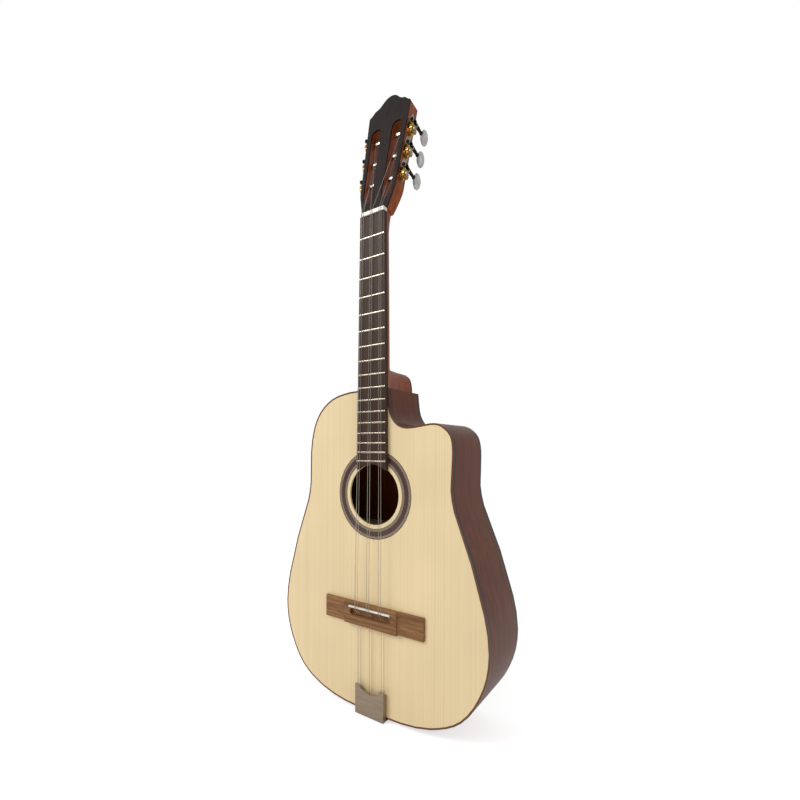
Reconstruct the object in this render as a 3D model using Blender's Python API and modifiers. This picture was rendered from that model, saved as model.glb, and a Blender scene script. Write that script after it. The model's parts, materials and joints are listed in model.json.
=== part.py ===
"""A cuban tres with a cutaway body, a slotted head and a tailpiece, in metres.

X points to the treble side, Y to the back and Z up the neck. The origin is on the centre line,
in the plane of the soundboard, at the end of the fingerboard where the nut stands.
Places along the body are given as distances below the nut, so their Z is negative.
"""

from math import acos, asin, atan2, ceil, cos, degrees, exp, floor, hypot, pi, radians, sin, sqrt

import bmesh
import bpy
from mathutils import Matrix, Vector
from mathutils.geometry import interpolate_bezier

# Clearances
GAP = 0.0003  # left between two pieces that touch
SINK = 0.0005  # depth by which shapes that are joined run into each other

# Strings and scale
SCALE_LENGTH = 0.560
FRET_COUNT = 17
COURSES = 3
PAIR_AT_NUT = 0.0032
PAIR_AT_SADDLE = 0.0042
COURSE_AT_NUT = 0.0155
COURSE_AT_SADDLE = 0.0210
STRING_RADII = (0.00045, 0.00030, 0.00035, 0.00035, 0.00028, 0.00028)
NUT_STRING_Y = -0.0083
SADDLE_STRING_Y = -0.0126

# Body
BODY_TOP = 0.2475  # where the neck meets the body
BODY_END = 0.7115
NECK_SEAT = 0.0254  # half width of the body's straight top edge
BASS_KNOTS = (  # (half width, distance below the nut) down the bass side
    (0.0450, 0.2485),
    (0.0800, 0.2570),
    (0.1040, 0.2750),
    (0.1180, 0.3000),
    (0.1250, 0.3380),
)
LOWER_KNOTS = (  # shared by both sides, from the waist to the tail
    (0.1255, 0.3850),
    (0.1305, 0.4130),
    (0.1540, 0.4750),
    (0.1720, 0.5360),
    (0.1783, 0.5820),
    (0.1710, 0.6255),
    (0.1400, 0.6765),
    (0.0950, 0.7010),
    (0.0500, 0.7095),
)
CUTAWAY_KNOTS = (
    (0.0266, 0.2680),
    (0.0290, 0.2815),
    (0.0373, 0.2950),
    (0.0500, 0.3020),
    (0.0685, 0.3022),
    (0.0875, 0.2995),
    (0.0990, 0.2988),
    (0.1080, 0.3010),
    (0.1172, 0.3070),
    (0.1237, 0.3150),
    (0.1270, 0.3270),
    (0.1275, 0.3450),
)
CURVE_STEP = radians(8)  # the outline turns by no more than this at a point
DEPTH_AT_NECK = 0.080
DEPTH_AT_TAIL = 0.101
SOUNDBOARD = 0.0026
BACK = 0.0028
SIDE = 0.0022
BINDING_HEIGHT = 0.0055
LINING_WIDTH = 0.006
LINING_HEIGHT = 0.014
HOLE_CENTRE = 0.3982
HOLE_RADIUS = 0.0436
ROSETTE_INNER = 0.0490
ROSETTE_OUTER = 0.0643
ROSETTE_THICKNESS = 0.0010
TAIL_BLOCK_HALF = 0.035
TAIL_BLOCK_DEPTH = 0.016
BRACE_WIDTH = 0.008
BRACE_HEIGHT = 0.014
BRACE_END_HEIGHT = 0.004
BRACE_SCOOP = 0.040
TOP_BRACES = (("top_brace_upper", 0.343), ("top_brace_lower", 0.456))
BACK_BRACES = (
    ("back_brace_upper", 0.340),
    ("back_brace_middle", 0.455),
    ("back_brace_lower", 0.590),
)

# Neck and fingerboard
NUT_HALF = 0.0215
BOARD_TAPER = 0.0124  # half width gained for each unit of length
BOARD_THICKNESS = 0.0065
FRET_WIDTH = 0.0024
FRET_HEIGHT = 0.0010
NECK_DEPTH = 0.0150
NECK_DEPTH_AT_HEEL = 0.0165
HEEL_LENGTH = 0.0310  # how far the heel stands out from the body
HEEL_HALF = 0.0140
HEEL_CAP = 0.0025
FOOT_BASS = 0.0450
FOOT_LENGTH = 0.0245
NUT_THICKNESS = 0.0050
NUT_TOP = -0.0088
SLOT_DEPTH = 0.0008

# Head
HEAD_TILT = radians(12.2)
HEAD_FACE_Y = -0.0025
HEAD_START_Z = 0.0040
HEADPLATE = 0.0022
HEAD_THICKNESS = 0.0210  # headplate and wood together
HEAD_LOWER = (0.0313, 0.0380)  # (half width, distance along the face) where the flare ends
HEAD_CORNER = (0.0370, 0.1745)
HEAD_CREST_KNOTS = (
    (0.0320, 0.1778),
    (0.0270, 0.1832),
    (0.0220, 0.1848),
    (0.0175, 0.1878),
    (0.0120, 0.1936),
    (0.0060, 0.1979),
    (0.0000, 0.1990),
)
HEAD_SLOT_LOW = (0.0167, 0.0286)
HEAD_SLOT_HIGH = (0.0189, 0.1387)
HEAD_SLOT_RADIUS = 0.00875

# Tuning machines, in a frame with X out of the head's side, Y to the back and Z up the side
ROLLER_PLACES = (0.058, 0.095, 0.132)  # along the head's face
ROLLER_DEPTH = 0.0113  # behind the head's face
DRUM_RADIUS = 0.0035
DRUM_START = 0.0084
DRUM_END = 0.0229
JOURNAL_RADIUS = 0.0022
JOURNAL_END = 0.0285
SPINDLE_RADIUS = 0.0018
RUNNING = 0.0003  # radial play of a shaft in its bearing
PLATE_THICKNESS = 0.0010
PLATE_HALF = 0.0084
GEAR_TEETH = 15
GEAR_PITCH_RADIUS = 0.0070
GEAR_WIDTH = 0.0030
TOOTH_OUT = 0.0008
TOOTH_IN = 0.0009
TOOTH_SHARE = 0.36  # of the pitch, at the pitch line, on the gear and on the worm
WORM_PITCH_RADIUS = 0.0035
WORM_TIP_OUT = 0.0007
WORM_ROOT_IN = 0.0010
WORM_TURNS = 2
WORM_STEPS = 8
WORM_HEIGHT = 0.0058  # of the worm's axis over the head's side
WORM_SHAFT_RADIUS = 0.0018
EAR_THICKNESS = 0.0015
EAR_RADIUS = 0.0033
BUTTON_START = 0.0203
BUTTON_RADII = (0.0045, 0.0085, 0.01275)
BUTTON_PIN_RADIUS = 0.0014
WINDING_TURNS = 2
WINDING_RADIUS = 0.00035
WINDING_STEP = 0.0014
WINDING_POINTS = 18  # for each turn

# Bridge and tailpiece
BRIDGE_TOP = 0.5557
BRIDGE_LENGTH = 0.0311
BRIDGE_HALF = 0.0868
BRIDGE_WING = 0.0044
BRIDGE_HEIGHT = 0.0088
BRIDGE_BLOCK_HALF = 0.046
SADDLE_PLACE = 0.5615
SADDLE_THICKNESS = 0.0028
SADDLE_HALF = 0.0361
SADDLE_SEAT_Y = -0.0050
TIE_SLOT_LENGTH = 0.0095
TIE_SLOT_Y = -0.0032
STRING_HOLE_RADIUS = 0.0009
STRING_EXIT_Y = -0.0052
TAIL_TOP = 0.6710
TAIL_HALF = 0.0250
TAIL_FACE_Y = -0.0085
TAIL_SHEET = 0.0014
TAIL_NOTCH = 0.0105
TAIL_SKIRT_Y = -0.0010
TAIL_END_Y = 0.0300
ANCHOR_PLACE = 0.6960
ANCHOR_LENGTH = 0.0040
ANCHOR_Y = -0.0042
SCREW_X = 0.0120
SCREW_Y = 0.0170
SCREW_RADIUS = 0.0019
SCREW_HEAD_RADIUS = 0.0042
SCREW_LENGTH = 0.0150

FACETS = 8  # sides of small round pieces


# Scene and materials


def clear_scene():
    for obj in list(bpy.data.objects):
        bpy.data.objects.remove(obj, do_unlink=True)


def new_collection(name):
    made = bpy.data.collections.new(name)
    bpy.context.scene.collection.children.link(made)
    return made


def finish(name, colour, roughness, metallic=0.0):
    made = bpy.data.materials.new(name)
    made.use_nodes = True
    shader = made.node_tree.nodes["Principled BSDF"]
    shader.inputs["Base Color"].default_value = (*colour, 1.0)
    shader.inputs["Roughness"].default_value = roughness
    shader.inputs["Metallic"].default_value = metallic
    return made


def add_piece(name, mesh, material, matrix=None, parent=None, smooth=True):
    """Puts a mesh in the instrument as one named piece."""
    made = bpy.data.objects.new(name, mesh)
    mesh.materials.clear()
    mesh.materials.append(material)
    if smooth:
        mesh.shade_smooth()
        mesh.set_sharp_from_angle(angle=radians(35))
    PIECES.objects.link(made)
    if parent:
        made.parent = parent
    if matrix:
        made.matrix_local = matrix
    return made


def add_helper(name, mesh):
    """Puts a mesh that only shapes other pieces in the cutters' collection."""
    made = bpy.data.objects.new(name, mesh)
    made.hide_render = True
    made.display_type = "WIRE"
    CUTTERS.objects.link(made)
    return made


def add_empty(name, matrix, parent=None):
    made = bpy.data.objects.new(name, None)
    made.empty_display_size = 0.01
    PIECES.objects.link(made)
    made.parent = parent
    made.matrix_local = matrix
    return made


def baked(mesh, joined=(), cut=()):
    """A new mesh: the given one with every joined mesh added and every cut mesh taken away."""
    base = bpy.data.objects.new("base", mesh)
    CUTTERS.objects.link(base)
    tools = []
    for operation, meshes in (("UNION", joined), ("DIFFERENCE", cut)):
        for other in meshes:
            tool = bpy.data.objects.new("tool", other)
            CUTTERS.objects.link(tool)
            step = base.modifiers.new("boolean", "BOOLEAN")
            step.operation = operation
            step.object = tool
            tools.append(tool)
    bpy.context.view_layer.update()
    graph = bpy.context.evaluated_depsgraph_get()
    made = bpy.data.meshes.new_from_object(base.evaluated_get(graph))
    for obj in (base, *tools):
        bpy.data.objects.remove(obj, do_unlink=True)
    return made


# Shapes


def to_mesh(bm):
    bmesh.ops.recalc_face_normals(bm, faces=bm.faces)
    made = bpy.data.meshes.new("shape")
    bm.to_mesh(made)
    bm.free()
    return made


def prism(loops, front, back, rows=()):
    """A plate across Y: loops of (x, z), the first one outside and the rest holes.

    front and back are the Y of its faces, or a function of z. Each row is a z where the plate may bend.
    """
    bm = bmesh.new()
    for loop in loops:
        ring = [bm.verts.new((x, 0.0, z)) for x, z in loop]
        for a, b in zip(ring, ring[1:] + ring[:1]):
            bm.edges.new((a, b))
    bmesh.ops.triangle_fill(bm, use_beauty=True, use_dissolve=True, edges=bm.edges)
    for z in rows:
        everything = bm.verts[:] + bm.edges[:] + bm.faces[:]
        bmesh.ops.bisect_plane(bm, geom=everything, dist=1e-6, plane_co=(0, 0, z), plane_no=(0, 0, 1))
    near = bm.verts[:]
    grown = bmesh.ops.extrude_face_region(bm, geom=bm.faces[:])["geom"]
    far = [item for item in grown if isinstance(item, bmesh.types.BMVert)]
    for verts, place in ((near, front), (far, back)):
        for vert in verts:
            vert.co.y = place(vert.co.z) if callable(place) else place
    return to_mesh(bm)


def box(low, high):
    bm = bmesh.new()
    size = [b - a for a, b in zip(low, high)]
    middle = [(a + b) / 2 for a, b in zip(low, high)]
    bmesh.ops.create_cube(bm, size=1.0)
    bmesh.ops.transform(bm, matrix=Matrix.Translation(middle) @ Matrix.Diagonal((*size, 1.0)), verts=bm.verts)
    return to_mesh(bm)


def rod(start, end, radius, facets=FACETS, end_radius=None):
    """A round bar, or a cone, from one point to another."""
    start = Vector(start)
    along = Vector(end) - start
    bm = bmesh.new()
    bmesh.ops.create_cone(
        bm,
        cap_ends=True,
        segments=facets,
        radius1=radius,
        radius2=radius if end_radius is None else end_radius,
        depth=along.length,
    )
    turn = Vector((0, 0, 1)).rotation_difference(along).to_matrix().to_4x4()
    bmesh.ops.transform(bm, matrix=Matrix.Translation(start + along / 2) @ turn, verts=bm.verts)
    return to_mesh(bm)


def turned(profile, facets=FACETS):
    """A solid of revolution about Z from (radius, z) points that run from the top down."""
    bm = bmesh.new()
    points = [bm.verts.new((radius, 0.0, z)) for radius, z in profile]
    for a, b in zip(points, points[1:]):
        bm.edges.new((a, b))
    outline = bpy.data.meshes.new("profile")
    bm.to_mesh(outline)
    bm.free()
    holder = bpy.data.objects.new("profile", outline)
    CUTTERS.objects.link(holder)
    screw = holder.modifiers.new("turn", "SCREW")
    screw.axis = "Z"
    screw.steps = screw.render_steps = facets
    screw.use_merge_vertices = True
    screw.merge_threshold = 0.00001
    bpy.context.view_layer.update()
    graph = bpy.context.evaluated_depsgraph_get()
    made = bpy.data.meshes.new_from_object(holder.evaluated_get(graph))
    bpy.data.objects.remove(holder, do_unlink=True)
    return made


def loft(rings):
    """A closed skin over rings of equally many points, with a flat cap at each end."""
    bm = bmesh.new()
    layers = [[bm.verts.new(point) for point in ring] for ring in rings]
    for lower, upper in zip(layers, layers[1:]):
        for i in range(len(lower)):
            j = (i + 1) % len(lower)
            bm.faces.new((lower[i], lower[j], upper[j], upper[i]))
    bm.faces.new(layers[0])
    bm.faces.new(layers[-1])
    return to_mesh(bm)


def tube(points, radius, resolution):
    """A round wire with filled caps along points."""
    curve = bpy.data.curves.new("wire", "CURVE")
    curve.dimensions = "3D"
    curve.bevel_depth = radius
    curve.bevel_resolution = resolution
    curve.use_fill_caps = True
    spline = curve.splines.new("POLY")
    spline.points.add(len(points) - 1)
    for slot, point in zip(spline.points, points):
        slot.co = (*point, 1.0)
    holder = bpy.data.objects.new("wire", curve)
    CUTTERS.objects.link(holder)
    bpy.context.view_layer.update()
    graph = bpy.context.evaluated_depsgraph_get()
    made = bpy.data.meshes.new_from_object(holder.evaluated_get(graph))
    bpy.data.objects.remove(holder, do_unlink=True)
    bm = bmesh.new()
    bm.from_mesh(made)
    bmesh.ops.remove_doubles(bm, verts=bm.verts, dist=radius / 50)
    return to_mesh(bm)


def moved(mesh, matrix):
    """A copy of the mesh, carried by the matrix. A mirroring matrix keeps its faces outward."""
    bm = bmesh.new()
    bm.from_mesh(mesh)
    bmesh.ops.transform(bm, matrix=matrix, verts=bm.verts)
    return to_mesh(bm)


# Outlines


def smooth_path(knots, per_span=0):
    """Points on a smooth curve through the knots: so many for each span, or as many as the curve needs."""
    points = [Vector(knot) for knot in knots]
    steps = [(b - a).normalized() for a, b in zip(points, points[1:])]
    leanings = [steps[0]] + [(a + b).normalized() for a, b in zip(steps, steps[1:])] + [steps[-1]]
    path = []
    for i in range(len(points) - 1):
        reach = (points[i + 1] - points[i]).length / 3
        count = per_span or max(1, ceil(leanings[i].angle(leanings[i + 1]) / CURVE_STEP))
        span = interpolate_bezier(
            points[i],
            points[i] + leanings[i] * reach,
            points[i + 1] - leanings[i + 1] * reach,
            points[i + 1],
            count + 1,
        )
        path += span[:-1]
    return path + [points[-1]]


def body_outline():
    """The closed outline as (x, z) points, with the index of the tail's centre."""
    lower = [(x, -d) for x, d in LOWER_KNOTS]
    tail = (0.0, -BODY_END)
    treble_knots = [(NECK_SEAT, -BODY_TOP)] + [(x, -d) for x, d in CUTAWAY_KNOTS] + lower
    bass_knots = [(-NECK_SEAT, -BODY_TOP)] + [(-x, -d) for x, d in BASS_KNOTS] + [(-x, z) for x, z in lower]
    whole = smooth_path(treble_knots + [tail] + bass_knots[::-1])
    return whole, min(range(len(whole)), key=lambda i: (whole[i] - Vector(tail)).length)


def inset(loop, distance):
    """The closed loop moved inward by a distance, with its corners kept."""
    count = len(loop)
    area = sum(loop[i - 1].cross(loop[i]) for i in range(count))
    turn = 1.0 if area > 0 else -1.0
    made = []
    for i in range(count):
        before = (loop[i] - loop[i - 1]).normalized()
        after = (loop[(i + 1) % count] - loop[i]).normalized()
        inward_before = Vector((-before.y, before.x)) * turn
        inward_after = Vector((-after.y, after.x)) * turn
        middle = (inward_before + inward_after).normalized()
        made.append(loop[i] + middle * distance / middle.dot(inward_after))
    return made


def side_path(side, distance=0.0):
    """The treble or the bass half of the outline, from the neck to the tail, moved inward."""
    loop = inset(OUTLINE, distance) if distance else OUTLINE
    if side == "treble":
        return loop[: TAIL_INDEX + 1]
    return loop[:TAIL_INDEX - 1:-1]


def stations(path, start, stop):
    """Indices, some of them fractions, between two distances from the start of a path."""
    lengths = [0.0]
    for a, b in zip(path, path[1:]):
        lengths.append(lengths[-1] + (b - a).length)
    stop = lengths[-1] - stop

    def index(distance):
        i = max(k for k in range(len(path) - 1) if lengths[k] <= distance + 1e-9)
        return min(i + (distance - lengths[i]) / (lengths[i + 1] - lengths[i]), len(path) - 1)

    first, last = index(start), index(stop)
    return [first] + [k for k in range(floor(first) + 1, ceil(last)) if last - k > 0.05 and k - first > 0.05] + [last]


def point_at(path, index):
    whole = min(floor(index), len(path) - 2)
    return path[whole].lerp(path[whole + 1], index - whole)


def band_outline(side, outer, inner, start=0.0, stop=0.0):
    """A strip along one side of the body, between two insets and two distances from its ends."""
    indices = stations(side_path(side), start, stop)
    far = [point_at(side_path(side, outer), i) for i in indices]
    near = [point_at(side_path(side, inner), i) for i in indices]
    return far + near[::-1]


def plate_outline(distance):
    """The outline of the soundboard or the back inside its binding, run out to the neck's end."""
    loop = inset(OUTLINE, distance)
    ends = [Vector((-NECK_SEAT + GAP, -BODY_TOP)), Vector((NECK_SEAT - distance, -BODY_TOP))]
    return loop + [Vector((-NECK_SEAT + GAP, -BODY_TOP - distance)), ends[0], ends[1]]


def circle(radius, z, count, x=0.0):
    return [(x + radius * cos(2 * pi * i / count), z + radius * sin(2 * pi * i / count)) for i in range(count)]


def stadium(low, high, radius, count=6):
    """A slot with round ends, from one centre to the other."""
    lean = atan2(high[0] - low[0], high[1] - low[1])
    upper = [pi * i / count - lean for i in range(count + 1)]
    lower = [pi + pi * i / count - lean for i in range(count + 1)]
    points = [(high[0] + radius * cos(a), high[1] + radius * sin(a)) for a in upper]
    return points + [(low[0] + radius * cos(a), low[1] + radius * sin(a)) for a in lower]


def back_y(z):
    """The outer face of the back: deepest at the tail, drawn in towards the neck."""
    share = (-z - BODY_TOP) / (BODY_END - BODY_TOP)
    return DEPTH_AT_NECK + (DEPTH_AT_TAIL - DEPTH_AT_NECK) * sin(pi / 2 * min(max(share, 0.0), 1.0))


def back_inside(z):
    return back_y(z) - BACK - GAP


def span_at(loop, z):
    """The lowest and highest x where a loop crosses a height."""
    found = []
    for a, b in zip(loop, loop[1:] + loop[:1]):
        if (a.y - z) * (b.y - z) < 0:
            found.append(a.x + (b.x - a.x) * (z - a.y) / (b.y - a.y))
    return min(found), max(found)


# Body


def make_soundboard():
    loop = plate_outline(SIDE + GAP)
    hole = circle(HOLE_RADIUS, -HOLE_CENTRE, 36)
    plate = prism([loop, hole], 0.0, SOUNDBOARD)
    depth = ROSETTE_THICKNESS + GAP
    ring = [circle(ROSETTE_OUTER, -HOLE_CENTRE, 36), circle(ROSETTE_INNER, -HOLE_CENTRE, 36)]
    channel = add_helper("rosette_channel", prism(ring, -depth, depth))
    board = add_piece("soundboard", plate, SPRUCE)
    cut = board.modifiers.new("rosette channel", "BOOLEAN")
    cut.operation = "DIFFERENCE"
    cut.object = channel
    outer = circle(ROSETTE_OUTER - GAP, -HOLE_CENTRE, 36)
    inner = circle(ROSETTE_INNER + GAP, -HOLE_CENTRE, 36)
    add_piece("rosette", prism([outer, inner], 0.0, ROSETTE_THICKNESS), ROSETTE)


def screw_holes(low, high):
    """Cutters for the two tailpiece screws, between two distances below the nut."""
    radius = SCREW_RADIUS + RUNNING
    return [rod((x, SCREW_Y, -low), (x, SCREW_Y, -high), radius) for x in (-SCREW_X, SCREW_X)]


def make_sides():
    front = BINDING_HEIGHT + GAP
    for side, sign in (("treble", 1), ("bass", -1)):
        strip = [Vector((sign * max(sign * p.x, GAP / 2), p.y)) for p in band_outline(side, 0.0, SIDE)]
        rib = prism([strip], front, lambda z: back_y(z) - front)
        rib = baked(rib, cut=screw_holes(BODY_END - 0.010, BODY_END + 0.010))
        add_piece("side_" + side, rib, MAHOGANY_DARK)


def make_bindings():
    for name, front, back in (
        ("top_binding", 0.0, BINDING_HEIGHT),
        ("back_binding", lambda z: back_y(z) - BINDING_HEIGHT, back_y),
    ):
        inner = side_path("treble", SIDE) + side_path("bass", SIDE)[-2::-1]
        outer = side_path("treble") + side_path("bass")[-2::-1]
        add_piece(name, prism([outer + inner[::-1]], front, back), BINDING)


def make_back():
    rows = [-BODY_TOP - (BODY_END - BODY_TOP) * i / 12 for i in range(1, 12)]
    plate = prism([plate_outline(SIDE + GAP)], lambda z: back_y(z) - BACK, back_y, rows)
    add_piece("back", plate, MAHOGANY_DARK)


def make_linings():
    outer = SIDE + GAP
    inner = outer + LINING_WIDTH
    starts = {"bass": FOOT_BASS - NECK_SEAT + 0.003, "treble": FOOT_LENGTH + 0.003}
    for side, start in starts.items():
        strip = band_outline(side, outer, inner, start, TAIL_BLOCK_HALF + 0.003)
        front = SOUNDBOARD + GAP
        add_piece("top_lining_" + side, prism([strip], front, front + LINING_HEIGHT), SPRUCE_INSIDE)
        back = prism([strip], lambda z: back_inside(z) - LINING_HEIGHT, back_inside)
        add_piece("back_lining_" + side, back, SPRUCE_INSIDE)


def make_tail_block():
    half = TAIL_BLOCK_HALF
    path = [p for p in inset(OUTLINE, SIDE + GAP) if p.y < -HOLE_CENTRE]
    edge = []
    for a, b in zip(path, path[1:]):
        for x in (half, -half):
            if (a.x - x) * (b.x - x) < 0:
                edge.append(a.lerp(b, (x - a.x) / (b.x - a.x)))
        if abs(b.x) < half:
            edge.append(b)
    inside = -BODY_END + SIDE + GAP + TAIL_BLOCK_DEPTH
    block = prism([edge + [Vector((-half, inside)), Vector((half, inside))]], SOUNDBOARD + GAP, back_inside)
    block = baked(block, cut=screw_holes(BODY_END + TAIL_SHEET - SCREW_LENGTH, BODY_END + 0.010))
    add_piece("tail_block", block, SPRUCE_INSIDE)


def make_brace(name, place, seat, inward):
    """A bar across the body with scooped ends, glued to a plate at the Y of its seat."""
    room = inset(OUTLINE, SIDE + 3 * GAP + LINING_WIDTH)
    edges = [span_at(room, -place + step * BRACE_WIDTH / 2) for step in (-1, 0, 1)]
    left, right = max(low for low, high in edges), min(high for low, high in edges)
    ends = []
    for i in range(5):
        share = i / 4
        height = BRACE_END_HEIGHT + (BRACE_HEIGHT - BRACE_END_HEIGHT) * sin(pi / 2 * share)
        ends.append((share * BRACE_SCOOP, height))
    top = [(left + run, height) for run, height in ends] + [(right - run, height) for run, height in ends[::-1]]
    profile = [(left, 0.0)] + top + [(right, 0.0)]
    # The profile is drawn across the body and lifted from the seat, so it is built flat and turned up.
    bar = prism([profile], -BRACE_WIDTH / 2, BRACE_WIDTH / 2)
    turn = Matrix(((1, 0, 0, 0), (0, 0, inward, seat), (0, 1, 0, -place), (0, 0, 0, 1)))
    add_piece(name, moved(bar, turn), SPRUCE_INSIDE)


def make_braces():
    for name, place in TOP_BRACES:
        make_brace(name, place, SOUNDBOARD + GAP, 1)
    for name, place in BACK_BRACES:
        make_brace(name, place, back_inside(-place + BRACE_WIDTH / 2), -1)


# Neck


def board_half(distance):
    """Half the fingerboard's width at a distance below the nut."""
    return NUT_HALF + BOARD_TAPER * distance


def neck_ring(distance, half, depth, square):
    """A neck section: flat under the fingerboard, round behind, squarer as the last number falls."""
    count = 12
    ring = []
    for i in range(count + 1):
        angle = pi * i / count
        x = half * (1 if cos(angle) >= 0 else -1) * abs(cos(angle)) ** square
        ring.append((x, depth * sin(angle) ** square if 0 < i < count else 0.0, -distance))
    return ring


def neck_shaft():
    end = BODY_TOP - GAP
    rings = []
    for distance, square in ((-0.0052, 0.35), (0.004, 0.5), (0.014, 0.75), (0.028, 0.9), (0.06, 0.9), (end, 0.9)):
        share = max(distance, 0.0) / end
        depth = NECK_DEPTH + (NECK_DEPTH_AT_HEEL - NECK_DEPTH) * share
        rings.append(neck_ring(distance, board_half(distance), depth, square))
    return loft(rings)


def heel_half(y, end):
    return HEEL_HALF + (NECK_SEAT - 0.001 - HEEL_HALF) * (max(end - y, 0.0) / end) ** 1.6


def heel_ring(y, end, lift):
    """A U-shaped section of the heel, its open side on the body."""
    half = heel_half(y, end)
    length = HEEL_LENGTH + lift
    base = -BODY_TOP - SINK
    ring = []
    for i in range(13):
        angle = pi * i / 12
        x = half * (1 if cos(angle) >= 0 else -1) * abs(cos(angle)) ** 0.8
        ring.append((x, y, base + (length + SINK) * (sin(angle) ** 0.8 if 0 < i < 12 else 0.0)))
    return ring


def make_neck_and_head():
    end = DEPTH_AT_NECK - HEEL_CAP - GAP
    start = SOUNDBOARD + GAP
    rings = []
    for y in (start, 0.008, 0.013, 0.018, 0.025, 0.035, 0.050, end - 0.006, end - 0.002, end):
        lift = 0.030 * exp(-max(y - 0.004, 0.0) / 0.008)
        round_off = 0.0015 if y == end else 0.0
        rings.append(heel_ring(y, end, lift - round_off))
    heel = loft(rings)
    foot = prism(
        [
            [
                (-FOOT_BASS, -BODY_TOP - 0.0038),
                (-NECK_SEAT + GAP, -BODY_TOP - 0.0038),
                (-NECK_SEAT + GAP, -BODY_TOP),
                (NECK_SEAT - SIDE - 2 * GAP, -BODY_TOP),
                (NECK_SEAT - SIDE - 2 * GAP, -BODY_TOP - FOOT_LENGTH),
                (-FOOT_BASS, -BODY_TOP - FOOT_LENGTH),
            ]
        ],
        start,
        back_inside,
    )
    whole = baked(neck_shaft(), joined=[head_block()])
    # The scarf runs from under the nut down to the back of the neck.
    upper = Vector((0.0, 0.0, NUT_THICKNESS))
    lower = Vector((0.0, NECK_DEPTH, -0.040))
    along = (lower - upper).normalized()
    normal = Vector((0.0, -along.z, along.y))
    for name, side in (("neck", 1), ("headstock", -1)):
        bm = bmesh.new()
        bm.from_mesh(whole)
        split = bmesh.ops.bisect_plane(
            bm,
            geom=bm.verts[:] + bm.edges[:] + bm.faces[:],
            dist=1e-7,
            plane_co=upper - normal * side * GAP / 2,
            plane_no=normal * side,
            clear_outer=True,
        )
        rim = [item for item in split["geom_cut"] if isinstance(item, bmesh.types.BMEdge)]
        bmesh.ops.contextual_create(bm, geom=rim)
        mesh = to_mesh(bm)
        if name == "neck":
            mesh = baked(mesh, joined=[heel, foot])
        add_piece(name, mesh, MAHOGANY)
    cap = [heel_ring(y, end, -0.0015) for y in (end + GAP, end + GAP + HEEL_CAP)]
    for ring in cap:
        for i in (0, 12):
            ring[i] = (ring[i][0], ring[i][1], -BODY_TOP + GAP)
    add_piece("heel_cap", loft(cap), EBONY)


def fret_place(number):
    return SCALE_LENGTH * (1 - 2 ** (-number / 12))


def make_fingerboard():
    corner = board_half(HOLE_CENTRE - HOLE_RADIUS * 0.8)
    reach = asin(corner / HOLE_RADIUS)
    arc = []
    for i in range(9):
        angle = reach * (1 - 2 * i / 8)
        arc.append((HOLE_RADIUS * sin(angle), -HOLE_CENTRE + HOLE_RADIUS * cos(angle)))
    top = [(-NUT_HALF, -GAP), (NUT_HALF, -GAP)]
    board = prism([top + arc], -BOARD_THICKNESS, -GAP)
    frets = []
    for number in range(1, FRET_COUNT + 1):
        place = fret_place(number)
        half = board_half(place) - 0.0004
        profile = (
            (-FRET_WIDTH / 2, -BOARD_THICKNESS + SINK),
            (-FRET_WIDTH / 5, -BOARD_THICKNESS - FRET_HEIGHT),
            (FRET_WIDTH / 5, -BOARD_THICKNESS - FRET_HEIGHT),
            (FRET_WIDTH / 2, -BOARD_THICKNESS + SINK),
        )
        frets.append(loft([[(x, y, z - place) for z, y in profile] for x in (-half, half)]))
    add_piece("fingerboard", baked(board, joined=frets), EBONY)


def string_x(number, pair, course):
    """The x of a string, numbered from 0 on the bass side, for a pair's and a course's spacing."""
    return (number // 2 - 1) * course + (number % 2 - 0.5) * pair


def make_nut():
    bar = box((-NUT_HALF, NUT_TOP, 0.0), (NUT_HALF, -GAP, NUT_THICKNESS))
    slots = []
    for number, radius in enumerate(STRING_RADII):
        x = string_x(number, PAIR_AT_NUT, COURSE_AT_NUT)
        half = radius + GAP
        low = (x - half, NUT_TOP - SLOT_DEPTH, -0.001)
        slots.append(box(low, (x + half, NUT_STRING_Y + radius + GAP, NUT_THICKNESS + 0.001)))
    add_piece("nut", baked(bar, cut=slots), BONE)


# Head

HEAD = Matrix.Translation((0.0, HEAD_FACE_Y, HEAD_START_Z)) @ Matrix.Rotation(-HEAD_TILT, 4, "X")


def head_half(along):
    """Half the head's width on its straight flanks."""
    (x0, z0), (x1, z1) = HEAD_LOWER, HEAD_CORNER
    return x0 + (x1 - x0) * (along - z0) / (z1 - z0)


def head_outline(start):
    """The head's face as (x, z) points, its lower edge at a given height."""
    flare = smooth_path([(NUT_HALF + 0.0005, start), (0.0282, 0.0255), HEAD_LOWER, (head_half(0.055), 0.055)], 3)
    crest = smooth_path([HEAD_CORNER, *HEAD_CREST_KNOTS], 2)
    right = flare + crest
    return right + [Vector((-p.x, p.y)) for p in right[-2::-1]]


def slot_outline(side):
    low, high = [(side * x, z) for x, z in (HEAD_SLOT_LOW, HEAD_SLOT_HIGH)]
    return stadium(low, high, HEAD_SLOT_RADIUS)


def side_frame(side, along):
    """A frame on the head's side, X out of it on the treble side, at a roller's height."""
    lean = atan2(HEAD_CORNER[0] - HEAD_LOWER[0], HEAD_CORNER[1] - HEAD_LOWER[1])
    place = Matrix.Translation((side * head_half(along), ROLLER_DEPTH, along))
    return place @ Matrix.Rotation(side * lean, 4, "Y")


def roller_holes(end):
    """Cutters for the roller journals, each as deep as its end is from the head's side."""
    radius = JOURNAL_RADIUS + RUNNING
    holes = []
    for side in (-1, 1):
        for along in ROLLER_PLACES:
            cutter = rod((side * 0.004, 0, 0), (-side * end, 0, 0), radius)
            holes.append(moved(cutter, side_frame(side, along)))
    return holes


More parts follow.
